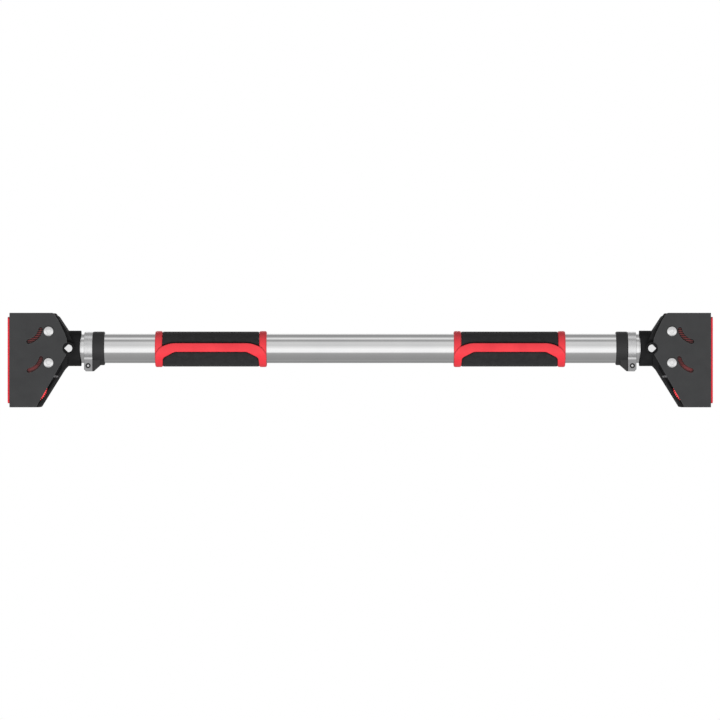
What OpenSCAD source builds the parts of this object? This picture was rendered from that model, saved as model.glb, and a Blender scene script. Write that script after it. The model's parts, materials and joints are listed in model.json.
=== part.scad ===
// Doorway pull up bar: a telescoping steel bar with two padded grips, held between two tilting wall shoes.
// The origin is the middle of the bar's axis. +X runs along the bar, +Z is up, and -Y is the front.

/* [Bar] */
// Outer diameter of the main tube
tube_d = 38; // [36:0.5:40]
// Wall thickness of both tubes
tube_wall = 1.5; // [1:0.1:2]
// Length over the two wall pads with both arms pushed in
span = 906; // [880:2:940]
// How far each arm pulls out
travel = 100; // [50:5:110]

/* [Grips] */
// Length of one grip over its end rings
grip_l = 143.8; // [130:1:150]
// Distance from the middle of the bar to the middle of a grip
grip_x = 192.4; // [185:0.5:200]
// Width of an end ring
ring_w = 9.6; // [7:0.2:12]
// Outer diameter of an end ring
ring_d = 46.5; // [45:0.5:48]
// How far a grip sits below the tube's axis
grip_drop = 0.9; // [0:0.1:1.2]
// How far the front band stands out of the foam
band_rise = 2.8; // [1:0.2:4]

/* [Wall shoe] */
// Height of a shoe
shoe_h = 121.4; // [115:0.5:130]
// Depth of a shoe over its two plates
shoe_depth = 60; // [58:1:70]
// Thickness of the shoe's sheet steel
sheet = 2; // [1.5:0.5:2]
// Thickness of the rubber wall pad
pad_t = 2.5; // [2:0.5:4]
// Thickness of the red liner's cheeks
liner_t = 1.5; // [1:0.5:1.5]
// Gap between a side plate and the liner's cheek behind it
liner_gap = 2; // [1.5:0.5:2]
// Tilt that the shoe has to either side
tilt_deg = 3; // [1:0.5:3]
// Width of a window slot
window_w = 5.8; // [4:0.1:6]

/* [Casting] */
// Outer radius of the casting's socket
socket_r = 22.9; // [22.5:0.1:24]
// Thickness of the casting's walls
cast_wall = 4; // [3:0.5:5]
// Radius of the hub that the shoe tilts on
hub_r = 7.7; // [7:0.1:8.5]

/* [Fasteners] */
// Diameter of the shoe bolts
bolt_d = 8; // [6:0.5:8]
// Diameter of a shoe bolt's head
bolt_head_d = 12.4; // [11:0.2:13]
// Diameter of the cross pin
pin_d = 8; // [6:0.5:8]
// Diameter of the clamp screw
screw_d = 3.5; // [3:0.5:4]

/* [Hidden] */
$fn = 96;
run_gap = 0.08;                 // radial gap of every running fit
skin_gap = 0.3;                 // gap round soft pieces
tube_r = tube_d / 2;
end_x = -span / 2;              // outer face of the left pad
wall_x = end_x + pad_t;         // outer face of the left shell
pivot_x = end_x + 78.4;         // the shoe tilts about this line, at the height of the axis
stop_x = end_x + 93;            // the socket's mouth, where a closed arm stops
shoe_top = 45.6;
shoe_bottom = shoe_top - shoe_h;
plate_y = shoe_depth / 2;       // outside of a side plate
shell_y = plate_y - sheet;      // inside of a side plate
liner_y = shell_y - liner_gap;  // outside of a liner cheek
cast_y = liner_y - liner_t - 0.5;   // half depth of the casting
bolt_x = end_x + 52.8;
bolt_z = [21.7, -18.7];         // heights of the two shoe bolts
spacer_r = bolt_d / 2 + 1.5;
window_r = 20.5;                // radius of a window's centre line
window_arc = [12.5, 77.5];      // where a window starts and ends, below the horizontal
windows = [[end_x + 22.6, 28.7], [end_x + 23.1, -8.4]];   // the windows' arc centres
teeth_at = [end_x + 30.8, -49.9];   // centre of the liner's toothed edge
teeth_r = 20.5;
tooth_h = 1.9;
tooth_pitch = 8;                // degrees from one tooth to the next
tube_end = stop_x + 0.5;        // left end of the main tube
inner_r = tube_r - tube_wall - run_gap;
inner_start = pivot_x - 9;
inner_l = travel + 109;         // still overlaps the main tube when pulled out
collar_x = stop_x + 4.5;        // outer end of the clamp collar
collar_w = 10.8;
collar_r = 21.4;
lug_y = 17.5;
lug_bottom = -29.6;
cover_x = collar_x + collar_w;  // outer end of the black clamp cover
cover_w = 15.2;
cover_r = 21.7;
screw_x = collar_x + 5.2;
screw_z = -22.3;
screw_head_r = screw_d * 0.85;
nut_d = screw_d * 2;            // over the corners of the clamp nut
nut_t = 3;
foam_r = ring_d / 2 - 0.55;

// ---- helpers ----

// A round bar along X
module rod_x(x0, x1, r, z = 0) {
    translate([x0, 0, z])
        rotate([0, 90, 0])
            cylinder(r = r, h = x1 - x0);
}

// A round bar along Y
module rod_y(x, z, r, y0, y1) {
    translate([x, y0, z])
        rotate([-90, 0, 0])
            cylinder(r = r, h = y1 - y0);
}

// An outline drawn in X and Z, made thick from y0 to y1
module slab(y0, y1) {
    translate([0, y1, 0])
        rotate([90, 0, 0])
            linear_extrude(height = y1 - y0)
                children();
}

// A profile drawn in radius and X, turned round a line along X
module turned(z = 0) {
    translate([0, 0, z])
        rotate([0, 90, 0])
            rotate_extrude()
                children();
}

// Points of an arc from angle a0 to a1
function arc(c, r, a0, a1, steps) =
    [for (i = [0 : steps]) c + r * [cos(a0 + (a1 - a0) * i / steps), sin(a0 + (a1 - a0) * i / steps)]];

function unit(v) = v / norm(v);
function wrap(a) = a > 180 ? a - 360 : (a < -180 ? a + 360 : a);

// Points of one rounded corner at p, between the corners before and after it
function corner(before, p, after, r, steps = 6) =
    let (u = unit(before - p))
    let (v = unit(after - p))
    let (half = acos(u * v) / 2)
    let (c = p + unit(u + v) * r / sin(half))
    let (a = p + u * r / tan(half) - c)
    let (b = p + v * r / tan(half) - c)
    let (a0 = atan2(a[1], a[0]))
    let (sweep = wrap(atan2(b[1], b[0]) - a0))
    arc(c, r, a0, a0 + sweep, steps);

// A closed outline with every corner [x, z, radius] rounded
function rounded(pts) =
    let (n = len(pts))
    let (xy = [for (p = pts) [p[0], p[1]]])
    [for (i = [0 : n - 1])
        for (q = pts[i][2] > 0
                ? corner(xy[(i + n - 1) % n], xy[i], xy[(i + 1) % n], pts[i][2])
                : [xy[i]])
            q];

// A slot that bends round c, at radius r, between two angles. Its round ends are a hair narrower than the
// slot, so that they cross its sides instead of grazing them.
module arc_slot(c, r, width, a0, a1) {
    reach = r * 2;
    hair = 0.05;
    intersection() {
        translate(c)
            difference() {
                circle(r = r + width / 2);
                circle(r = r - width / 2);
            }
        polygon([c, c + reach * [cos(a0), sin(a0)], c + reach * [cos(a1), sin(a1)]]);
    }
    for (a = [a0, a1])
        translate(c + r * [cos(a), sin(a)])
            circle(d = width - hair);
}

// ---- the bar ----

module main_tube() {
    slit_w = 3;
    slit_l = 32;
    color("silver")
        difference() {
            rod_x(tube_end, -tube_end, tube_r);
            rod_x(tube_end - 1, 1 - tube_end, tube_r - tube_wall);
            for (x = [tube_end - 1, 1 - tube_end - slit_l])
                translate([x, -slit_w / 2, -tube_d])
                    cube([slit_l, slit_w, tube_d]);
        }
}

// Front view of a band: flat in the middle, then down into the lower half of each end ring
function band_outline() =
    let (end = grip_l / 2 - 0.5)
    let (inner = grip_l / 2 - ring_w)
    let (upper = 6.7)
    let (lower = -4.5)
    let (foot = -ring_d / 2)
    rounded([
        [-end, foot, 0], [-end, -8.4, 4], [4.6 - end, 0.4, 14], [9.3 - inner, upper, 36],
        [inner - 9.3, upper, 36], [end - 4.6, 0.4, 14], [end, -8.4, 4], [end, foot, 0],
        [inner, foot, 0], [inner - 0.8, -12.3, 5], [inner - 16, lower, 10],
        [16 - inner, lower, 10], [0.8 - inner, -12.3, 5], [-inner, foot, 0]
    ]);

// Front and back bands as solids. They stand out most in front and behind, and die away underneath, where
// the fading cylinder meets the rings.
module bands(grow) {
    bed_r = tube_r + 1.2 - grow;
    crest_r = foam_r + band_rise;
    lift = 3;                   // how far the fading cylinder sits above the grip's axis
    intersection() {
        difference() {
            rod_x(-grip_l / 2, grip_l / 2, crest_r + grow, -grip_drop);
            rod_x(-grip_l, grip_l, bed_r);
        }
        rod_x(-grip_l, grip_l, ring_d / 2 + lift + grow, lift - grip_drop);
        slab(-ring_d, ring_d)
            polygon(band_outline());
    }
}

module left_grip_foam() {
    half = grip_l / 2 - ring_w - skin_gap;
    color("#2b2b2d")
        translate([-grip_x, 0, 0])
            difference() {
                rod_x(-half, half, foam_r, -grip_drop);
                rod_x(-grip_l, grip_l, tube_r + 0.1);
                bands(skin_gap);
            }
}

module left_grip_frame() {
    inner = grip_l / 2 - ring_w;
    color("#c8202c")
        translate([-grip_x, 0, 0]) {
            for (x = [-grip_l / 2, inner])
                difference() {
                    ring_blank(x);
                    rod_x(-grip_l, grip_l, tube_r + 0.02);
                }
            bands(0);
        }
}

// One end ring without its bore, from x to x + ring_w
module ring_blank(x) {
    edge = 2;
    r = ring_d / 2;
    turned(-grip_drop)
        polygon(rounded([[0, x, 0], [r, x, edge], [r, x + ring_w, edge], [0, x + ring_w, 0]]));
}

module left_clamp_collar() {
    gap = 3;
    lug_top = -12.3;
    color("#c9ccd0")
        difference() {
            union() {
                rod_x(collar_x, collar_x + collar_w, collar_r);
                slab(-lug_y, lug_y)
                    polygon([
                        [collar_x, lug_top], [collar_x, lug_bottom + 2.5], [collar_x + 2.5, lug_bottom],
                        [collar_x + collar_w, lug_bottom], [collar_x + collar_w, lug_top]
                    ]);
            }
            rod_x(collar_x - 1, cover_x + 1, tube_r + 0.03);
            translate([collar_x - 1, -gap / 2, lug_bottom - 1])
                cube([collar_w + 2, gap, tube_r]);
            rod_y(screw_x, screw_z, screw_d / 2 + run_gap, -lug_y - 1, lug_y + 1);
            rod_y(screw_x, screw_z, screw_head_r + 0.15, -lug_y - 1, -lug_y + 4.4);
            nut_hole();
        }
}

// Hexagonal pocket for the clamp nut in the back lug
module nut_hole() {
    translate([screw_x, lug_y - nut_t - 0.2, screw_z])
        rotate([-90, 0, 0])
            cylinder(d = nut_d, h = nut_t + 1, $fn = 6);
}

module left_clamp_nut() {
    color("#b4b7bb")
        translate([screw_x, lug_y - nut_t - 0.1, screw_z])
            rotate([-90, 0, 0])
                difference() {
                    cylinder(d = nut_d - 0.2, h = nut_t, $fn = 6);
                    translate([0, 0, -1])
                        cylinder(r = screw_d / 2 + run_gap, h = nut_t + 2);
                }
}

module left_clamp_screw() {
    head_h = 4;
    head_y = -lug_y + 0.3;
    color("#b4b7bb")
        difference() {
            union() {
                rod_y(screw_x, screw_z, screw_head_r, head_y, head_y + head_h);
                rod_y(screw_x, screw_z, screw_d / 2, head_y + 1, lug_y + 0.5);
            }
            translate([screw_x, head_y - 1, screw_z])
                rotate([-90, 0, 0])
                    cylinder(d = screw_d * 0.86, h = 3.2, $fn = 6);
        }
}

module left_clamp_cover() {
    ramp_y = 15.5;
    edge = 1.6;
    color("#1f1f21")
        difference() {
            union() {
                turned()
                    polygon(rounded([
                        [0, cover_x, 0], [cover_r, cover_x, edge],
                        [cover_r, cover_x + cover_w, edge], [0, cover_x + cover_w, 0]
                    ]));
                slab(-ramp_y, ramp_y)
                    polygon([
                        [cover_x, -12], [cover_x, lug_bottom - 0.1],
                        [cover_x + 9.7, -cover_r + 0.6], [cover_x + 9.7, -12]
                    ]);
            }
            rod_x(cover_x - 1, cover_x + cover_w + 1, tube_r + 0.03);
        }
}

// ---- the arm ----

module left_inner_tube() {
    color("silver")
        difference() {
            rod_x(inner_start, inner_start + inner_l, inner_r);
            rod_x(inner_start - 1, inner_start + inner_l + 1, inner_r - tube_wall);
            rod_y(pivot_x, 0, pin_d / 2 + run_gap, -tube_d, tube_d);
        }
}

module left_tube_plug() {
    x = inner_start + inner_l;
    plug_r = inner_r - tube_wall - 0.05;
    color("#29292b")
        difference() {
            union() {
                rod_x(x, x + 3, inner_r);
                rod_x(x - 18, x + 1, plug_r);
            }
            rod_x(x - 19, x - 2, plug_r - 2.5);
        }
}

// Outline of the whole casting seen from the front
function cast_outline() = rounded([
    [end_x + 39, 45, 2], [end_x + 54, 45, 4], [end_x + 63.5, 41.5, 5], [end_x + 76, 22.5, 4],
    [end_x + 86.3, 4, 6], [end_x + 84.5, -7, 5], [end_x + 77, -9, 4],
    [end_x + 76.5, -21.5, 3], [end_x + 70.7, -27.5, 9],
    [end_x + 40.6, shoe_bottom, 1.5], [end_x + 21, shoe_bottom, 2], [end_x + 40, -34, 8], [end_x + 39, 0, 6]
]);

// Recess in the casting's face, one wall in from its outer edge and open towards the wall
function recess_outline() =
    let (w = cast_wall * 0.8)
    rounded([
        [end_x + 30, 45 - w, 0], [end_x + 53, 45 - w, 3], [end_x + 61.5 - w / 2, 40.5 - w, 3],
        [end_x + 72.5 - w, 24.5, 3], [end_x + 68, 12, 4], [end_x + 68, -12, 4], [end_x + 72.5 - w, -24.5, 5],
        [end_x + 51.5, -54, 0], [end_x + 30, -54, 0]
    ]);

// Hollow behind the casting's faces, which opens towards the wall
module cast_hollow() {
    w = cast_wall + 1;
    inside = cast_y - 2 - cast_wall;
    slab(-inside, inside)
        polygon([
            [end_x, 45 - w], [end_x + 52, 45 - w], [end_x + 60 - w / 2, 41 - w], [end_x + 72 - w, 24],
            [end_x + 72 - w, -26], [end_x + 42.5, shoe_bottom + w], [end_x, shoe_bottom + w]
        ]);
}

// Pocket in the lower leg, between the cross rib and the foot. A thin web stays behind it.
module leg_pocket() {
    depth = 4.6;
    slab(-cast_y - 1, -cast_y + depth)
        polygon(rounded([
            [end_x + 62.2 - cast_wall, -40.5, 1.5], [end_x + 43.5 - cast_wall, shoe_bottom + 4, 1.5],
            [end_x + 28, shoe_bottom + 4, 1.5], [end_x + 44, -40.5, 1.5]
        ]));
}

// Bolt slots that let the shoe tilt: arcs round the pivot, as wide as a bolt's spacer
module tilt_slots() {
    for (z = bolt_z) {
        r = norm([bolt_x - pivot_x, z]);
        a = atan2(z, bolt_x - pivot_x);
        slab(-cast_y - 1, cast_y + 1)
            arc_slot([pivot_x, 0], r, 2 * (spacer_r + run_gap), a - tilt_deg - 0.15, a + tilt_deg + 0.15);
    }
}

// Socket with a mouth that is rounded about the vertical
module socket() {
    mouth_r = 220;
    intersection() {
        rod_x(pivot_x - 16, stop_x, socket_r);
        translate([stop_x - mouth_r, 0, -socket_r - 1])
            cylinder(r = mouth_r, h = 2 * socket_r + 2, $fn = 180);
    }
}

module left_yoke() {
    hub_y = plate_y + 0.5;
    rim_r = hub_r - 1.1;
    color("#1c1c1e")
        difference() {
            union() {
                difference() {
                    slab(-cast_y, cast_y)
                        polygon(cast_outline());
                    cast_hollow();
                    for (side = [-1, 1])
                        translate([0, side * (cast_y - 1), 0])
                            slab(-1.01, 1.01)
                                polygon(recess_outline());
                    leg_pocket();
                    mirror([0, 1, 0])
                        leg_pocket();
                }
                socket();
                rod_y(pivot_x, 0, hub_r, -hub_y, hub_y);
            }
            rod_x(inner_start - 0.5, stop_x + 1, inner_r + run_gap);
            rod_y(pivot_x, 0, pin_d / 2 + run_gap, -hub_y - 1, hub_y + 1);
            rod_y(pivot_x, 0, rim_r, -hub_y - 1, -hub_y + 1.8);
            tilt_slots();
        }
}

module left_cross_pin() {
    face_y = -plate_y + 1.3;    // floor of the hub's counterbore
    head_t = 2;
    head_r = 4.9;
    tip = 5.6;                  // from the pin's axis to the point where the two flats meet
    groove_y = plate_y + 0.6;
    color("#d8dadd")
        difference() {
            union() {
                rod_y(pivot_x, 0, pin_d / 2, face_y - 1, groove_y + 3);
                slab(face_y - head_t, face_y)
                    intersection() {
                        union() {
                            translate([pivot_x, 0])
                                circle(r = head_r);
                            translate([pivot_x - tip, -tip / 2])
                                square([tip, tip]);
                        }
                        translate([pivot_x - tip, 0])
                            rotate(-45)
                                square(4 * tip);
                    }
            }
            difference() {
                rod_y(pivot_x, 0, pin_d, groove_y, groove_y + 1.2);
                rod_y(pivot_x, 0, pin_d / 2 - 0.8, groove_y - 1, groove_y + 3);
            }
        }
}

module left_pin_clip() {
    y = plate_y + 0.65;
    clip_r = 7;
    clip_t = 1.1;
    mouth = 3.6;
    color("#8d9095")
        difference() {
            rod_y(pivot_x, 0, clip_r, y, y + clip_t);
            rod_y(pivot_x, 0, pin_d / 2 - 0.75, y - 1, y + clip_t + 1);
            translate([pivot_x - mouth / 2, y - 1, -clip_r - 1])
                cube([mouth, clip_t + 2, clip_r + 1]);
        }
}

// ---- the wall shoe ----

// Outline of a side plate, before its notch is cut
function plate_outline() = rounded([
    [wall_x, shoe_bottom, 0], [wall_x, shoe_top, 0], [end_x + 58.6, shoe_top, 3], [end_x + 64.5, 37.7, 8],
    [end_x + 73.6, 18.9, 8], [end_x + 76, 12.5, 2], [end_x + 77.4, 0, 0], [end_x + 75.2, -8.6, 2],
    [end_x + 36.5, shoe_bottom, 1]
]);

// Front view of the shell: notch round the hub, two bolt holes and two window slots
module shell_outline() {
    difference() {
        polygon(plate_outline());
        translate([pivot_x, 0])
            circle(r = hub_r + run_gap);
        for (z = bolt_z)
            translate([bolt_x, z])
                circle(r = bolt_d / 2 + 0.1);
        for (c = windows)
            arc_slot(c, window_r, window_w, -window_arc[0], -window_arc[1]);
    }
}

module left_shoe_shell() {
    color("#47484b")
        difference() {
            slab(-plate_y, plate_y)
                shell_outline();
            translate([wall_x + sheet, -shell_y, shoe_bottom - 1])
                cube([shoe_h, 2 * shell_y, shoe_h + 2]);
        }
}

// Zigzag edge of the liner: a fan of teeth round teeth_at
function teeth() =
    [for (i = [-1 : 17])
        let (r = i % 2 == 0 ? teeth_r : teeth_r - tooth_h)
        let (a = 2 - i * tooth_pitch / 2)
        teeth_at + r * [cos(a), sin(a)]];

module liner_cheek() {
    inset = 1;
    difference() {
        polygon(rounded([
            [wall_x + sheet, shoe_bottom + inset, 0], [wall_x + sheet, shoe_top - inset, 0],
            [end_x + 57.6, shoe_top - inset, 3], [end_x + 63, 37, 8], [end_x + 72, 18.5, 6],
            [end_x + 74, 9, 2], [end_x + 74, -9, 2], [end_x + 35.5, shoe_bottom + inset, 1]
        ]));
        translate([pivot_x, 0])
            circle(r = hub_r + 1);
        for (z = bolt_z)
            translate([bolt_x, z])
                circle(r = spacer_r + 0.1);
    }
}

// One side of the liner at the front: cheek, toothed pad against the plate, and ribs behind the windows
module liner_side() {
    rib_h = 1.2;
    rib_w = 1.3;
    back = 8;                   // how far the toothed pad reaches in behind the plate
    slab(-liner_y, -liner_y + liner_t)
        liner_cheek();
    slab(-shell_y, -liner_y + liner_t)
        polygon(concat(teeth(), [teeth_at - [back, back]]));
    for (z = [-22 : 2 * rib_w : 33])
        translate([end_x + 17, -liner_y - rib_h, z])
            cube([29.5, rib_h + 0.5, rib_w]);
}

module left_liner() {
    inset = 1;
    color("#b81c28") {
        liner_side();
        mirror([0, 1, 0])
            liner_side();
        translate([wall_x + sheet, -liner_y, shoe_bottom + inset])
            cube([liner_t, 2 * liner_y, shoe_h - 2 * inset]);
    }
}

module left_wall_pad() {
    top = 40.4;
    low = -70.6;
    r = 4;
    half = plate_y - 1.5;
    color("#d8232f")
        translate([end_x, 0, 0])
            rotate([90, 0, 90])
                linear_extrude(height = pad_t)
                    polygon(rounded([[-half, low, r], [-half, top, r], [half, top, r], [half, low, r]]));
}

module left_bolt_spacers() {
    color("#9a9da2")
        for (z = bolt_z)
            difference() {
                rod_y(bolt_x, z, spacer_r, -shell_y, shell_y);
                rod_y(bolt_x, z, bolt_d / 2 + 0.1, -shoe_depth, shoe_depth);
            }
}

// Button head with a domed front and a hexagonal recess
module button_head() {
    dome_r = 15;
    head_h = 3.6;
    difference() {
        intersection() {
            rod_y(0, 0, bolt_head_d / 2, -head_h, 0);
            translate([0, dome_r - head_h, 0])
                sphere(r = dome_r);
        }
        translate([0, -head_h - 1, 0])
            rotate([-90, 0, 0])
                cylinder(d = 5.8, h = 3, $fn = 6);
    }
}

module left_shoe_bolts() {
    color("#d3d5d8")
        for (z = bolt_z) {
            translate([bolt_x, -plate_y, z])
                button_head();
            rod_y(bolt_x, z, bolt_d / 2, -plate_y, plate_y + 6);
        }
}

module left_shoe_nuts() {
    color("#b4b7bb")
        for (z = bolt_z)
            translate([bolt_x, plate_y, z])
                rotate([-90, 0, 0])
                    difference() {
                        cylinder(d = bolt_d * 1.85, h = 5, $fn = 6);
                        translate([0, 0, -1])
                            cylinder(r = bolt_d / 2 + 0.02, h = 8);
                    }
}

// ---- the right side mirrors the left ----

module right_inner_tube() { mirror([1, 0, 0]) left_inner_tube(); }
module right_tube_plug() { mirror([1, 0, 0]) left_tube_plug(); }
module right_yoke() { mirror([1, 0, 0]) left_yoke(); }
module right_cross_pin() { mirror([1, 0, 0]) left_cross_pin(); }
module right_pin_clip() { mirror([1, 0, 0]) left_pin_clip(); }
module right_shoe_shell() { mirror([1, 0, 0]) left_shoe_shell(); }
module right_wall_pad() { mirror([1, 0, 0]) left_wall_pad(); }
module right_liner() { mirror([1, 0, 0]) left_liner(); }
module right_shoe_bolts() { mirror([1, 0, 0]) left_shoe_bolts(); }
module right_bolt_spacers() { mirror([1, 0, 0]) left_bolt_spacers(); }
module right_shoe_nuts() { mirror([1, 0, 0]) left_shoe_nuts(); }
module right_clamp_collar() { mirror([1, 0, 0]) left_clamp_collar(); }
module right_clamp_cover() { mirror([1, 0, 0]) left_clamp_cover(); }
module right_clamp_screw() { mirror([1, 0, 0]) left_clamp_screw(); }
module right_clamp_nut() { mirror([1, 0, 0]) left_clamp_nut(); }
module right_grip_foam() { mirror([1, 0, 0]) left_grip_foam(); }
module right_grip_frame() { mirror([1, 0, 0]) left_grip_frame(); }

main_tube();
left_inner_tube();
left_tube_plug();
left_yoke();
left_cross_pin();
left_pin_clip();
left_shoe_shell();
left_wall_pad();
left_liner();
left_shoe_bolts();
left_bolt_spacers();
left_shoe_nuts();
left_clamp_collar();
left_clamp_cover();
left_clamp_screw();
left_clamp_nut();
left_grip_foam();
left_grip_frame();
right_inner_tube();
right_tube_plug();
right_yoke();
right_cross_pin();
right_pin_clip();
right_shoe_shell();
right_wall_pad();
right_liner();
right_shoe_bolts();
right_bolt_spacers();
right_shoe_nuts();
right_clamp_collar();
right_clamp_cover();
right_clamp_screw();
right_clamp_nut();
right_grip_foam();
right_grip_frame();
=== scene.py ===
"""Looks of the doorway pull up bar: procedural materials, moulded and padded pieces, and a plain studio."""
import json
import math

import bmesh
import bpy
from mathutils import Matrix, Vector
from mathutils.bvhtree import BVHTree

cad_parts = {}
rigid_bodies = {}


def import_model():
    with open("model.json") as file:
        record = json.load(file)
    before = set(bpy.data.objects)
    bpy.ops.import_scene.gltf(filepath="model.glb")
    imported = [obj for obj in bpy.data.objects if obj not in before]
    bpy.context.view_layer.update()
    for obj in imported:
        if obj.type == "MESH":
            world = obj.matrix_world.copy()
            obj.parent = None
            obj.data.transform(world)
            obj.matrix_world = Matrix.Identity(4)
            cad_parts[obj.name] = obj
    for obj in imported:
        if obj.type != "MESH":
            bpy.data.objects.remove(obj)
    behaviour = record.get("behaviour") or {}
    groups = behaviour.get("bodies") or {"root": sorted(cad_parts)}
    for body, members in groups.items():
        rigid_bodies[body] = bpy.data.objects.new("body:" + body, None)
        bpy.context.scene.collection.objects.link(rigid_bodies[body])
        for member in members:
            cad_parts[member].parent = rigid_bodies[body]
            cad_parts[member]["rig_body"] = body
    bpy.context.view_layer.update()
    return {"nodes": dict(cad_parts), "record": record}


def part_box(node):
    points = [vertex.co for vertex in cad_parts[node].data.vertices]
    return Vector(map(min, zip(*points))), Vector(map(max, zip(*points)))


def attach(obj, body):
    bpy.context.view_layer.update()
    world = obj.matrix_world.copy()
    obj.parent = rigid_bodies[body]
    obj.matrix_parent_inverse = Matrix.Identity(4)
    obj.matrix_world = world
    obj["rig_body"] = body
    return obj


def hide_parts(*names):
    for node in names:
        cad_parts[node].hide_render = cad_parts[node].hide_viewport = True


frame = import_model()
NODES = frame["nodes"]
SLOTS = {row["node"]: row["material_slot"] for row in frame["record"]["subparts"]}
SIDES = ("left", "right")
MM = 0.001

# The photograph's view: a long lens a little under six metres in front, level with the bar
VIEW_DISTANCE = 5.8
VIEW_WIDTH = 0.9294             # what the picture shows across at the bar
VIEW_CENTRE = (-0.0003, -0.0150)
SENSOR = 36.0

# The bar hangs, and the floor lies below every camera that looks at it from underneath
FLOOR_Z = -6.2
FLOOR_RADIUS = 30.0

TUBE_WALL = 1.5 * MM
TUBE_EDGE = 0.25 * MM           # rounding of the tubes' ends
SLIT = (3 * MM, 31 * MM)        # width and length of the slit underneath at each end of the main tube
JOIN = 0.002 * MM               # closer vertices are one corner that a CAD mesh splits between its faces

# Places in the front view that the materials mark, measured from the middle of the bar
RIB_ASIDE = 391.7 * MM          # the cross rib in the leg of the casting, where a highlight is painted
RIB_BELOW = 36.2 * MM
LUG_TOP = (-15 * MM, -12 * MM)  # the collar turns darker and rougher towards its lugs between these heights
LOW_END = (-31 * MM, -30 * MM)  # lower end of the lower window, where light is painted onto the liner

# Brightness of the studio round the bar, by direction in degrees: 0 is straight in front, 90 up, -90 down.
# Long soft boxes lie parallel to the bar, the widest one in front and a little below it.
STUDIO = (
    (-180, 0.35), (-160, 0.30), (-150, 0.31), (-126, 0.26), (-111, 0.33), (-98, 0.28), (-58, 0.32),
    (-41, 0.36), (-35, 0.50), (-31, 0.94), (-6, 0.96), (4, 0.82), (14, 0.72), (22, 0.60), (47, 0.64),
    (55, 0.44), (64, 0.28), (72, 0.42), (80, 0.78), (86, 0.78), (95, 0.46), (106, 0.28), (122, 0.32),
    (138, 0.26), (145, 0.90), (168, 0.90), (174, 0.35), (180, 0.35),
)
END_LIGHT = 0.35                # brightness of the studio beyond the two ends of the bar
END_FADE = (0.80, 0.98)         # how straight along the bar a direction points where that light fades in
SOFT_BOX = (3.2, 1.2)           # sides of the two soft boxes


# ---------------------------------------------------------------- nodes

def put(tree, kind, settings=None, inputs=None):
    """Adds a shader node. An input is given a number or colour, or the socket that feeds it."""
    node = tree.nodes.new(kind)
    for name, value in (settings or {}).items():
        setattr(node, name, value)
    for name, value in (inputs or {}).items():
        if isinstance(value, bpy.types.NodeSocket):
            tree.links.new(value, node.inputs[name])
        else:
            node.inputs[name].default_value = value
    return node


def math_node(tree, operation, *values):
    return put(tree, "ShaderNodeMath", {"operation": operation}, dict(enumerate(values))).outputs[0]


def vector_math(tree, operation, *values):
    """The node itself, because some operations give a vector and others a value."""
    return put(tree, "ShaderNodeVectorMath", {"operation": operation}, dict(enumerate(values)))


def split(tree, vector):
    """A vector's three numbers."""
    return put(tree, "ShaderNodeSeparateXYZ", {}, {0: vector}).outputs


def ramp(tree, factor, stops):
    """Turns a factor into grey or colour through a list of (position, colour)."""
    node = put(tree, "ShaderNodeValToRGB", {}, {"Fac": factor})
    elements = node.color_ramp.elements
    while len(elements) < len(stops):
        elements.new(0.5)
    for element, (position, _) in zip(elements, stops):
        element.position = position
    for element, (_, value) in zip(elements, stops):
        element.color = (value, value, value, 1) if isinstance(value, float) else (*value, 1)
    return node.outputs["Color"]


def mix_colour(tree, factor, a, b):
    sockets = {0: factor, 6: a, 7: b}
    inputs = {i: (*v, 1) if isinstance(v, tuple) else v for i, v in sockets.items()}
    return put(tree, "ShaderNodeMix", {"data_type": "RGBA"}, inputs).outputs[2]


def place(tree, stretch=(1, 1, 1)):
    """Position on the object, in metres, stretched along each axis."""
    coordinates = put(tree, "ShaderNodeTexCoord")
    inputs = {"Vector": coordinates.outputs["Object"], "Scale": stretch}
    return put(tree, "ShaderNodeMapping", {}, inputs).outputs[0]


def noise(tree, scale, detail=3.0, stretch=(1, 1, 1)):
    inputs = {"Vector": place(tree, stretch), "Scale": scale, "Detail": detail, "Roughness": 0.55}
    return put(tree, "ShaderNodeTexNoise", {}, inputs).outputs["Fac"]


def spread(tree, factor, low, high, start=0.3, end=0.7):
    """Maps a factor to the range from low to high. A noise mostly lies between the usual start and end."""
    inputs = {"Value": factor, "From Min": start, "From Max": end, "To Min": low, "To Max": high}
    return put(tree, "ShaderNodeMapRange", {}, inputs).outputs[0]


def tones(tree, factor, dark, light):
    """Wanders between two colours with a noise."""
    return ramp(tree, spread(tree, factor, 0.0, 1.0), [(0.0, dark), (1.0, light)])


def bump(tree, height, strength, distance, under=None):
    inputs = {"Height": height, "Strength": strength, "Distance": distance}
    if under:
        inputs["Normal"] = under
    return put(tree, "ShaderNodeBump", {}, inputs).outputs["Normal"]


def edges(tree, radius, gain):
    """1 along the edges of a piece, within the radius, and 0 on its faces."""
    rounded = put(tree, "ShaderNodeBevel", {"samples": 6}, {"Radius": radius})
    geometry = put(tree, "ShaderNodeNewGeometry")
    same = vector_math(tree, "DOT_PRODUCT", rounded.outputs["Normal"], geometry.outputs["Normal"])
    turned = math_node(tree, "SUBTRACT", 1.0, same.outputs["Value"])
    settings = {"operation": "MULTIPLY", "use_clamp": True}
    return put(tree, "ShaderNodeMath", settings, {0: turned, 1: gain}).outputs[0]


def occlusion_for_painted_shade(tree, distance):
    """1 where a surface is open to the light, down to 0 where it lies deep behind others. The materials paint
    shade into their colour with it.
    """
    return put(tree, "ShaderNodeAmbientOcclusion", {"samples": 8}, {"Distance": distance}).outputs["AO"]


def new_material(name, roughness=0.5, metallic=0.0, specular=0.5):
    material = bpy.data.materials.new(name)
    material.use_nodes = True
    shader = material.node_tree.nodes["Principled BSDF"]
    shader.inputs["Roughness"].default_value = roughness
    shader.inputs["Metallic"].default_value = metallic
    shader.inputs["Specular IOR Level"].default_value = specular
    return material, material.node_tree, shader


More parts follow.
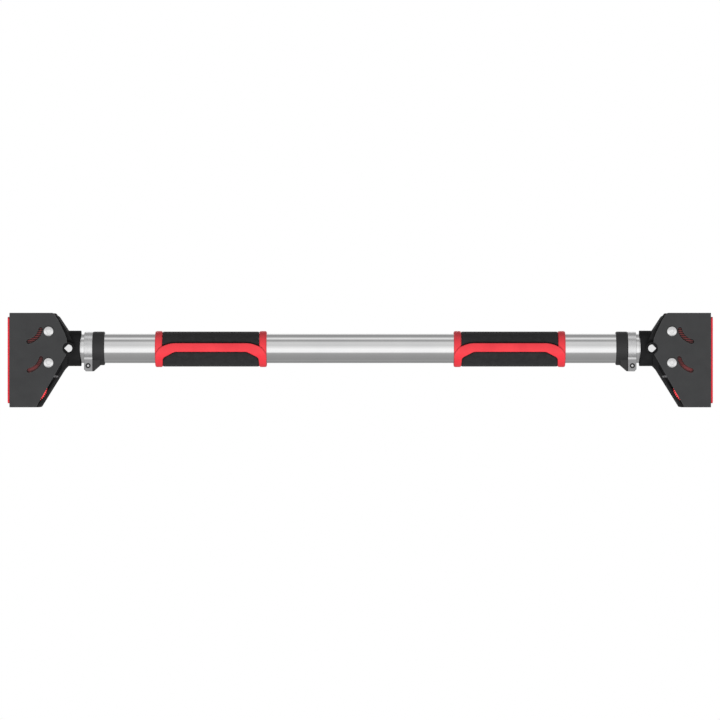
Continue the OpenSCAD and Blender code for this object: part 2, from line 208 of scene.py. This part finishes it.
def feed(tree, shader, **sockets):
    """Links sockets to the shader's inputs: colour, roughness and normal."""
    names = {"colour": "Base Color", "roughness": "Roughness", "normal": "Normal"}
    for key, socket in sockets.items():
        tree.links.new(socket, shader.inputs[names[key]])


# ---------------------------------------------------------------- materials

def chromed_tube():
    """Drawn and plated steel: long faint streaks along the bar and a light haze."""
    material, tree, shader = new_material("chromed_tube", metallic=1.0)
    streaks = noise(tree, 1.0, 4.0, (9, 1900, 1900))
    haze = noise(tree, 26.0, 4.0)
    colour = tones(tree, haze, (0.93, 0.93, 0.935), (0.975, 0.975, 0.975))
    rough = math_node(tree, "ADD", spread(tree, streaks, 0.06, 0.16), spread(tree, haze, 0.0, 0.03))
    feed(tree, shader, colour=colour, roughness=rough, normal=bump(tree, streaks, 0.10, 0.02 * MM))
    return material


def collar_metal():
    """Nickel plated steel: turned round the ring, and darker and rougher lower down, on the lugs."""
    material, tree, shader = new_material("collar_metal", metallic=1.0)
    marks = noise(tree, 1.0, 5.0, (5200, 60, 60))
    haze = noise(tree, 240.0, 3.0)
    turned = tones(tree, haze, (0.80, 0.80, 0.81), (0.92, 0.92, 0.92))
    height = split(tree, place(tree))[2]
    lug = spread(tree, height, 1.0, 0.0, *LUG_TOP)
    colour = mix_colour(tree, lug, turned, (0.40, 0.40, 0.405))
    rough = math_node(tree, "ADD", spread(tree, marks, 0.20, 0.36), math_node(tree, "MULTIPLY", lug, 0.15))
    feed(tree, shader, colour=colour, roughness=rough, normal=bump(tree, marks, 0.35, 0.05 * MM))
    return material


def fastener_metal():
    """Bright zinc plating, a little uneven, with a painted shade where it lies behind others."""
    material, tree, shader = new_material("fastener_metal", metallic=1.0)
    patches = noise(tree, 700.0, 5.0)
    occluded_for_painted_shade = occlusion_for_painted_shade(tree, 2.0 * MM)
    plated = tones(tree, patches, (0.88, 0.88, 0.885), (0.99, 0.99, 0.99))
    # Painted shade: the plating turns grey where it lies deep behind other surfaces.
    colour = mix_colour(tree, spread(tree, occluded_for_painted_shade, 0.0, 1.0, 0.0, 0.55), (0.35, 0.35, 0.36), plated)
    feed(tree, shader, colour=colour, roughness=spread(tree, patches, 0.18, 0.34),
         normal=bump(tree, patches, 0.2, 0.06 * MM))
    return material


def dark_steel():
    """Charcoal powder coat: a fine orange peel, with thin bright lines along the sheet's edges that are
    partly wear and partly painted highlight.
    """
    material, tree, shader = new_material("dark_steel")
    peel = noise(tree, 2100.0, 2.0)
    tone = noise(tree, 60.0, 4.0)
    scuffs = spread(tree, noise(tree, 380.0), 0.35, 1.0)
    # Thin bright lines along the edges: partly wear, partly a painted highlight.
    wear_and_highlight = math_node(tree, "MULTIPLY", edges(tree, 1.0 * MM, 4.0), scuffs)
    coat = tones(tree, tone, (0.0210, 0.0214, 0.0224), (0.0255, 0.0260, 0.0270))
    colour = mix_colour(tree, wear_and_highlight, coat, (0.15, 0.15, 0.155))
    feed(tree, shader, colour=colour, roughness=spread(tree, peel, 0.48, 0.62),
         normal=bump(tree, peel, 0.30, 0.08 * MM))
    return material


def rib_highlight_mask(tree):
    """1 on the front and back of the cross rib in the leg of the casting, and 0 elsewhere: where the casting
    gets a painted highlight. The rib is a level bar, so distances along X are shortened."""
    shorten = 0.4
    aside = vector_math(tree, "ABSOLUTE", place(tree)).outputs[0]
    level = vector_math(tree, "MULTIPLY", aside, (shorten, 0.0, 1.0)).outputs[0]
    away = vector_math(tree, "DISTANCE", level, (shorten * RIB_ASIDE, 0.0, RIB_BELOW)).outputs["Value"]
    normal = split(tree, put(tree, "ShaderNodeNewGeometry").outputs["Normal"])
    facing = spread(tree, math_node(tree, "ABSOLUTE", normal[1]), 0.0, 1.0, 0.6, 0.9)
    return math_node(tree, "MULTIPLY", facing, spread(tree, away, 1.0, 0.0, 0.8 * MM, 1.8 * MM))


def black_casting():
    """Black enamelled casting: a fine sandy skin, with edges lightened partly as wear and partly as painted
    highlight, and a painted highlight on the cross rib in the leg.
    """
    material, tree, shader = new_material("black_casting", specular=0.12)
    sand = noise(tree, 1500.0, 3.0)
    tone = noise(tree, 90.0, 4.0)
    scuffs = spread(tree, noise(tree, 300.0), 0.0, 1.0)
    # Edges lightened partly by wear and partly by a painted highlight.
    wear_and_highlight = math_node(tree, "MULTIPLY", edges(tree, 0.5 * MM, 1.6), scuffs)
    skin = tones(tree, tone, (0.009, 0.009, 0.0095), (0.014, 0.014, 0.0145))
    worn_and_highlit = mix_colour(tree, wear_and_highlight, skin, (0.060, 0.060, 0.062))
    # A painted highlight on the cross rib.
    feed(tree, shader, colour=mix_colour(tree, rib_highlight_mask(tree), worn_and_highlit, (0.13, 0.13, 0.132)),
         roughness=spread(tree, sand, 0.66, 0.80), normal=bump(tree, sand, 0.35, 0.10 * MM))
    return material


def black_plastic():
    """Moulded black nylon with fine lines that run round the piece."""
    material, tree, shader = new_material("black_plastic")
    settings = {"bands_direction": "X", "wave_profile": "SIN"}
    inputs = {"Vector": place(tree), "Scale": 190.0, "Distortion": 0.0}
    lines = put(tree, "ShaderNodeTexWave", settings, inputs).outputs["Fac"]
    grain = noise(tree, 1300.0, 3.0)
    colour = tones(tree, grain, (0.0125, 0.0125, 0.013), (0.0185, 0.0185, 0.019))
    grained = bump(tree, grain, 0.25, 0.06 * MM)
    feed(tree, shader, colour=colour, roughness=spread(tree, grain, 0.45, 0.60),
         normal=bump(tree, lines, 0.5, 0.12 * MM, grained))
    return material


def grip_foam():
    """Closed-cell foam rubber: small open cells over a softly uneven skin."""
    material, tree, shader = new_material("grip_foam", roughness=0.9, specular=0.25)
    shader.inputs["Sheen Weight"].default_value = 0.06
    shader.inputs["Sheen Roughness"].default_value = 0.5
    inputs = {"Vector": place(tree), "Scale": 950.0, "Randomness": 1.0}
    cells = put(tree, "ShaderNodeTexVoronoi", {"feature": "F1"}, inputs).outputs["Distance"]
    skin = noise(tree, 160.0, 5.0)
    pores = ramp(tree, cells, [(0.0, (0.013, 0.013, 0.0135)), (0.75, (0.022, 0.022, 0.023))])
    colour = mix_colour(tree, spread(tree, skin, 0.0, 0.6), pores, (0.012, 0.012, 0.0125))
    uneven = bump(tree, skin, 0.35, 0.25 * MM)
    feed(tree, shader, colour=colour, roughness=spread(tree, skin, 0.80, 0.95),
         normal=bump(tree, cells, 0.7, 0.22 * MM, uneven))
    return material


def red_plastic(name, dark, light, roughness, grain_scale, shade):
    """Red moulding or rubber with a fine grain. Where it lies behind others its colour turns to a painted
    shade colour.
    """
    material, tree, shader = new_material(name)
    grain = noise(tree, grain_scale, 3.0)
    tone = noise(tree, 45.0, 4.0)
    # Painted shade where the surface lies behind others.
    open_to_light = spread(tree, occlusion_for_painted_shade(tree, 7.0 * MM), 0.0, 1.0, 0.25, 0.55)
    colour = mix_colour(tree, open_to_light, shade, tones(tree, tone, dark, light))
    feed(tree, shader, colour=colour, roughness=spread(tree, grain, roughness - 0.06, roughness + 0.08),
         normal=bump(tree, grain, 0.22, 0.07 * MM))
    return material


def red_liner():
    """Red moulding, bright on the toothed pads. The sunk cheeks get a painted shade, darkest where they lie
    deep behind the plate, and a painted light at the low end of the lower window.
    """
    material, tree, shader = new_material("red_liner")
    low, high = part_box("left_liner")
    face = (high.y - low.y) / 2
    position = split(tree, place(tree))
    depth = math_node(tree, "ABSOLUTE", position[1])
    raised = spread(tree, depth, 0.0, 1.0, face - 0.6 * MM, face - 0.3 * MM)
    low_end_painted_light = spread(tree, position[2], 1.0, 0.0, *LOW_END)
    grain = noise(tree, 900.0, 3.0)
    tone = noise(tree, 45.0, 4.0)
    clean = tones(tree, tone, (0.84, 0.050, 0.060), (0.94, 0.070, 0.080))
    # Painted shade on the sunk cheeks.
    cheek_painted_shade = tones(tree, tone, (0.105, 0.018, 0.019), (0.145, 0.022, 0.023))
    # Painted light at the low end of the lower window.
    cheek = mix_colour(tree, low_end_painted_light, cheek_painted_shade, (0.80, 0.045, 0.055))
    # Painted shade, near black where the cheeks lie deep behind the plate.
    open_to_light = spread(tree, occlusion_for_painted_shade(tree, 4.5 * MM), 0.0, 1.0, 0.45, 0.80)
    sunk = mix_colour(tree, open_to_light, (0.012, 0.006, 0.006), cheek)
    feed(tree, shader, colour=mix_colour(tree, raised, sunk, clean),
         roughness=spread(tree, grain, 0.46, 0.60), normal=bump(tree, grain, 0.22, 0.07 * MM))
    return material


def screw_metal():
    """Blackened socket screw, with a highlight painted bright in its socket."""
    material, tree, shader = new_material("screw_metal", metallic=1.0)
    low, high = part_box("left_clamp_screw")
    axis_x = abs(low.x + high.x) / 2
    axis_z = (low.z + high.z) / 2
    position = split(tree, place(tree))
    aside = math_node(tree, "SUBTRACT", math_node(tree, "ABSOLUTE", position[0]), axis_x)
    above = math_node(tree, "SUBTRACT", position[2], axis_z)
    squares = [math_node(tree, "POWER", value, 2.0) for value in (aside, above)]
    distance = math_node(tree, "SQRT", math_node(tree, "ADD", *squares))
    # A painted highlight in the middle of the socket.
    socket = spread(tree, distance, 1.0, 0.0, 1.30 * MM, 1.60 * MM)
    grain = noise(tree, 1600.0, 3.0)
    black = tones(tree, grain, (0.03, 0.03, 0.03), (0.06, 0.06, 0.062))
    feed(tree, shader, colour=mix_colour(tree, socket, black, (0.92, 0.92, 0.92)),
         roughness=spread(tree, grain, 0.30, 0.42))
    return material


LOOKS = {
    "chromed_tube": chromed_tube(),
    "collar_metal": collar_metal(),
    "fastener_metal": fastener_metal(),
    "dark_steel": dark_steel(),
    "black_casting": black_casting(),
    "black_plastic": black_plastic(),
    "grip_foam": grip_foam(),
    "red_frame": red_plastic(
        "red_frame", (0.60, 0.024, 0.036), (0.68, 0.032, 0.044), 0.46, 1100.0, (0.30, 0.008, 0.014)),
    "red_liner": red_liner(),
    "red_rubber": red_plastic(
        "red_rubber", (0.52, 0.016, 0.028), (0.60, 0.022, 0.034), 0.66, 1500.0, (0.20, 0.008, 0.012)),
}
SCREW_LOOK = screw_metal()


# ---------------------------------------------------------------- meshes

def add_modifier(piece, kind, **settings):
    modifier = piece.modifiers.new(kind.lower(), kind)
    for name, value in settings.items():
        setattr(modifier, name, value)


def apply_modifiers(piece):
    """Makes what the modifiers give the piece's own mesh."""
    evaluated = piece.evaluated_get(bpy.context.evaluated_depsgraph_get())
    mesh = bpy.data.meshes.new_from_object(evaluated)
    piece.modifiers.clear()
    piece.data = mesh


def soften_edges(piece, width, angle=35):
    """A small rounded edge wherever faces meet at more than the angle. The faces keep flat normals."""
    add_modifier(piece, "BEVEL", width=width, segments=2, limit_method="ANGLE",
                 angle_limit=math.radians(angle), use_clamp_overlap=False, loop_slide=False)
    add_modifier(piece, "WEIGHTED_NORMAL", keep_sharp=True)


def shade_smooth(piece):
    for face in piece.data.polygons:
        face.use_smooth = True


def set_look(piece, look):
    """The one material of a piece."""
    piece.data.materials.clear()
    piece.data.materials.append(look)


def clear_normals(piece):
    with bpy.context.temp_override(object=piece, active_object=piece, selected_objects=[piece]):
        bpy.ops.mesh.customdata_custom_splitnormals_clear()


def new_piece(name, mesh, node):
    """A piece that stands for a CAD node, with its body, its slot and its material."""
    piece = bpy.data.objects.new(name, mesh)
    bpy.context.scene.collection.objects.link(piece)
    set_look(piece, LOOKS[SLOTS[node]])
    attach(piece, NODES[node]["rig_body"])
    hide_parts(node)
    return piece


def tube_mesh(name, x0, x1, outer, inner, slit=None):
    """A tube along X. slit is the width and length of a slit underneath, open at each end of the tube."""
    steps = 144                 # round the tube
    seam = 0.4 * MM             # width of the last strip round a tube that has no slit
    width, length = slit or (seam, 0.0)
    stations = [x0, x0 + length, x1 - length, x1] if slit else [x0, x1]
    mesh = bpy.data.meshes.new(name)
    bm = bmesh.new()
    rings = []
    for x in stations:
        ring = []
        for radius in (outer, inner):
            half = math.asin(width / 2 / radius)
            angles = [half - math.pi / 2 + i * 2 * (math.pi - half) / steps for i in range(steps + 1)]
            ring.append([bm.verts.new((x, radius * math.cos(a), radius * math.sin(a))) for a in angles])
        rings.append(ring)
    last = len(stations) - 2
    for i, (here, there) in enumerate(zip(rings, rings[1:])):
        slotted = slit and i in (0, last)
        for layer in (0, 1):
            a, b = here[layer], there[layer]
            for k in range(steps):
                bm.faces.new((a[k], a[k + 1], b[k + 1], b[k]))
            if not slotted:
                bm.faces.new((a[steps], a[0], b[0], b[steps]))
        if slotted:
            for k in (0, steps):
                bm.faces.new((here[0][k], here[1][k], there[1][k], there[0][k]))
    for ring in (rings[0], rings[-1]):
        for k in range(steps):
            bm.faces.new((ring[0][k], ring[0][k + 1], ring[1][k + 1], ring[1][k]))
        if not slit:
            bm.faces.new((ring[0][steps], ring[0][0], ring[1][0], ring[1][steps]))
    if slit:
        for ring in rings[1:-1]:
            bm.faces.new((ring[0][steps], ring[0][0], ring[1][0], ring[1][steps]))
    bmesh.ops.recalc_face_normals(bm, faces=bm.faces)
    bm.to_mesh(mesh)
    bm.free()
    return mesh


def boxes_mesh(name, boxes):
    """One mesh of separate boxes, each given by two corners."""
    mesh = bpy.data.meshes.new(name)
    bm = bmesh.new()
    for low, high in boxes:
        cube = bmesh.ops.create_cube(bm, size=1.0)["verts"]
        middle = (Vector(low) + Vector(high)) / 2
        size = Vector(high) - Vector(low)
        for vertex in cube:
            vertex.co = Vector(a * b for a, b in zip(vertex.co, size)) + middle
    bm.to_mesh(mesh)
    bm.free()
    return mesh


def copy_of(node):
    """A loose copy of a CAD node's mesh, with its split vertices joined."""
    mesh = NODES[node].data.copy()
    bm = bmesh.new()
    bm.from_mesh(mesh)
    bmesh.ops.remove_doubles(bm, verts=bm.verts, dist=JOIN)
    bm.to_mesh(mesh)
    bm.free()
    return mesh


def moulded(name, node, voxel, smoothing, keep):
    """A CAD node's shape with edges rounded as by a mould: remeshed, smoothed and thinned out."""
    piece = new_piece(name, copy_of(node), node)
    clear_normals(piece)
    add_modifier(piece, "REMESH", mode="VOXEL", voxel_size=voxel, use_smooth_shade=True)
    add_modifier(piece, "SMOOTH", factor=0.5, iterations=smoothing)
    add_modifier(piece, "DECIMATE", ratio=keep)
    apply_modifiers(piece)
    set_look(piece, LOOKS[SLOTS[node]])
    shade_smooth(piece)


# ---------------------------------------------------------------- pieces

def make_main_tube():
    low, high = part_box("main_tube")
    mesh = tube_mesh("bar_tube", low.x, high.x, high.z, high.z - TUBE_WALL, slit=SLIT)
    piece = new_piece("bar_tube", mesh, "main_tube")
    shade_smooth(piece)
    soften_edges(piece, TUBE_EDGE, angle=50)


def make_inner_tube(side):
    node = f"{side}_inner_tube"
    low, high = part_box(node)
    mesh = tube_mesh(f"{side}_arm_tube", low.x, high.x, high.z, high.z - TUBE_WALL)
    piece = new_piece(f"{side}_arm_tube", mesh, node)
    shade_smooth(piece)
    soften_edges(piece, TUBE_EDGE, angle=50)


def make_wall_pad(side):
    """The rubber pad, with grooves across its wall side for grip."""
    node = f"{side}_wall_pad"
    low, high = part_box(node)
    sign = -1 if side == "left" else 1
    face = low.x if side == "left" else high.x
    piece = new_piece(f"{side}_ribbed_pad", copy_of(node), node)
    clear_normals(piece)
    pitch = 5.0 * MM
    groove = 1.6 * MM
    depth = 0.8 * MM
    border = 3.0 * MM           # the grooves end this far from the sides
    count = int((high.z - low.z) / pitch) - 1
    start = (low.z + high.z - (count - 1) * pitch) / 2
    rows = []
    for i in range(count):
        z = start + i * pitch - groove / 2
        ends = sorted((face - sign * depth, face + sign * MM))
        rows.append(((ends[0], low.y + border, z), (ends[1], high.y - border, z + groove)))
    cutter = bpy.data.objects.new("grooves", boxes_mesh("grooves", rows))
    bpy.context.scene.collection.objects.link(cutter)
    add_modifier(piece, "BOOLEAN", operation="DIFFERENCE", object=cutter, solver="EXACT")
    apply_modifiers(piece)
    bpy.data.objects.remove(cutter)
    set_look(piece, LOOKS[SLOTS[node]])
    shade_smooth(piece)
    soften_edges(piece, 0.3 * MM)


def sleeve_mesh(name, x0, x1, middle_z, outer, inner, under, frame_tree):
    """A foam sleeve round the bar. It dives to the radius under where the frame lies over it, tucks in beside
    the frame, and swells a little in the open."""
    rows = 156                  # steps along the sleeve
    around = 200                # steps round it
    tuck = 0.25 * MM            # how deep the foam is pinched at the frame
    reach = 1.0 * MM            # how far from the frame the pinch is felt
    swell = 0.15 * MM
    mesh = bpy.data.meshes.new(name)
    bm = bmesh.new()
    skin = []
    for i in range(rows + 1):
        x = x0 + (x1 - x0) * i / rows
        ring = []
        for k in range(around):
            a = 2 * math.pi * k / around
            ray = Vector((0, math.cos(a), math.sin(a)))
            middle = Vector((x, 0, middle_z))
            point = middle + ray * outer
            above = frame_tree.ray_cast(middle + ray * inner, ray)[0]
            if above:
                point = middle + ray * under
            else:
                away = frame_tree.find_nearest(point)[3]
                pinch = math.exp(-((away / reach) ** 2))
                point = middle + ray * (outer + swell - (tuck + swell) * pinch)
            ring.append(bm.verts.new(point))
        skin.append(ring)
    bores = []
    for x in (x0, x1):
        angles = [2 * math.pi * k / around for k in range(around)]
        bores.append([bm.verts.new((x, inner * math.cos(a), inner * math.sin(a))) for a in angles])
    for here, there in zip([bores[0], *skin, bores[1]], [*skin, bores[1], bores[0]]):
        for k in range(around):
            after = (k + 1) % around
            bm.faces.new((here[k], here[after], there[after], there[k]))
    bmesh.ops.recalc_face_normals(bm, faces=bm.faces)
    bm.to_mesh(mesh)
    bm.free()
    return mesh


def make_grips(side):
    node = f"{side}_grip_foam"
    low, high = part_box(node)
    outer = (high.y - low.y) / 2
    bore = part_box("main_tube")[1].z + 0.1 * MM
    frame_mesh = copy_of(f"{side}_grip_frame")
    corners = [v.co for v in frame_mesh.vertices]
    frame_tree = BVHTree.FromPolygons(corners, [tuple(f.vertices) for f in frame_mesh.polygons])
    squeeze = 0.8 * MM          # how far the soft ends press into the rings
    thinnest = 0.8 * MM         # foam that is left under the red band
    mesh = sleeve_mesh(f"{side}_foam_sleeve", low.x - squeeze, high.x + squeeze, (low.z + high.z) / 2,
                       outer, bore, bore + thinnest, frame_tree)
    foam = new_piece(f"{side}_foam_sleeve", mesh, node)
    add_modifier(foam, "SMOOTH", factor=0.5, iterations=2)
    shade_smooth(foam)
    moulded(f"{side}_red_frame", f"{side}_grip_frame", voxel=0.5 * MM, smoothing=8, keep=0.5)


def finish_cad_nodes():
    """CAD nodes that stay: their own finish, and a small rounded edge."""
    for name, node in NODES.items():
        if node.hide_render:
            continue
        set_look(node, SCREW_LOOK if name.endswith("clamp_screw") else LOOKS[SLOTS[name]])
        clear_normals(node)
        shade_smooth(node)
        # The round slots in these two meet their sides in tiny steps, which would bevel into spikes
        stepped = name.endswith(("yoke", "shoe_shell"))
        add_modifier(node, "WELD", merge_threshold=0.1 * MM if stepped else JOIN)
        large = stepped or name.endswith(("clamp_collar", "clamp_cover"))
        soften_edges(node, (0.35 if large else 0.2) * MM)


# ---------------------------------------------------------------- stage

def make_camera():
    data = bpy.data.cameras.new("camera")
    data.sensor_width = SENSOR
    data.lens = SENSOR * VIEW_DISTANCE / VIEW_WIDTH
    data.clip_end = 100
    camera = bpy.data.objects.new("camera", data)
    bpy.context.scene.collection.objects.link(camera)
    camera.location = (VIEW_CENTRE[0], -VIEW_DISTANCE, VIEW_CENTRE[1])
    camera.rotation_euler = (math.radians(90), 0, 0)
    bpy.context.scene.camera = camera


def make_light(name, location, power):
    """A soft box that lights only matt surfaces, because the world already holds what the metal mirrors."""
    data = bpy.data.lights.new(name, "AREA")
    data.shape = "RECTANGLE"
    data.size, data.size_y = SOFT_BOX
    data.energy = power
    light = bpy.data.objects.new(name, data)
    bpy.context.scene.collection.objects.link(light)
    light.location = location
    light.rotation_euler = (-Vector(location)).to_track_quat("-Z", "Y").to_euler()
    light.visible_camera = False
    light.visible_glossy = False


def make_world():
    """Soft boxes parallel to the bar, by the angle round it, and plain white where the camera looks past."""
    world = bpy.data.worlds.new("studio")
    bpy.context.scene.world = world
    world.use_nodes = True
    tree = world.node_tree
    tree.nodes.clear()
    coordinates = put(tree, "ShaderNodeTexCoord")
    x, y, z = split(tree, coordinates.outputs["Generated"])
    angle = math_node(tree, "ARCTAN2", z, math_node(tree, "MULTIPLY", y, -1.0))
    turn = spread(tree, angle, 0.0, 1.0, -math.pi, math.pi)
    bands = ramp(tree, turn, [((degrees + 180) / 360, value) for degrees, value in STUDIO])
    endwise = spread(tree, math_node(tree, "ABSOLUTE", x), 0.0, 1.0, *END_FADE)
    light = mix_colour(tree, endwise, bands, (END_LIGHT, END_LIGHT, END_LIGHT))
    path = put(tree, "ShaderNodeLightPath")
    colour = mix_colour(tree, path.outputs["Is Camera Ray"], light, (1.0, 1.0, 1.0))
    background = put(tree, "ShaderNodeBackground", {}, {"Color": colour})
    put(tree, "ShaderNodeOutputWorld", {}, {"Surface": background.outputs[0]})


def make_floor():
    """A pale painted floor that turns white towards its edge. Only the camera sees it."""
    middle = (0, 0, FLOOR_Z)
    bpy.ops.mesh.primitive_circle_add(vertices=128, radius=FLOOR_RADIUS, fill_type="NGON", location=middle)
    floor = bpy.context.object
    floor.name = "floor"
    material, tree, shader = new_material("floor_paint", roughness=0.7)
    mottle = spread(tree, noise(tree, 3.0, 5.0), 0.74, 0.78)
    out = vector_math(tree, "LENGTH", place(tree)).outputs["Value"]
    far = spread(tree, out, 0.0, 1.0, 2.0, FLOOR_RADIUS * 0.9)
    tree.links.new(mottle, shader.inputs["Base Color"])
    tree.links.new(spread(tree, far, 0.38, 1.0, 0.0, 1.0), shader.inputs["Emission Strength"])
    shader.inputs["Emission Color"].default_value = (1, 1, 1, 1)
    floor.data.materials.append(material)
    floor.visible_glossy = False
    floor.visible_diffuse = False


bpy.context.scene.view_settings.view_transform = "Standard"
make_camera()
make_world()
make_floor()
make_light("front_box", (0.0, -3.6, -2.2), 190.0)
make_light("back_box", (0.0, 3.6, 2.2), 120.0)

make_main_tube()
for side in SIDES:
    make_inner_tube(side)
    make_wall_pad(side)
    make_grips(side)
finish_cad_nodes()
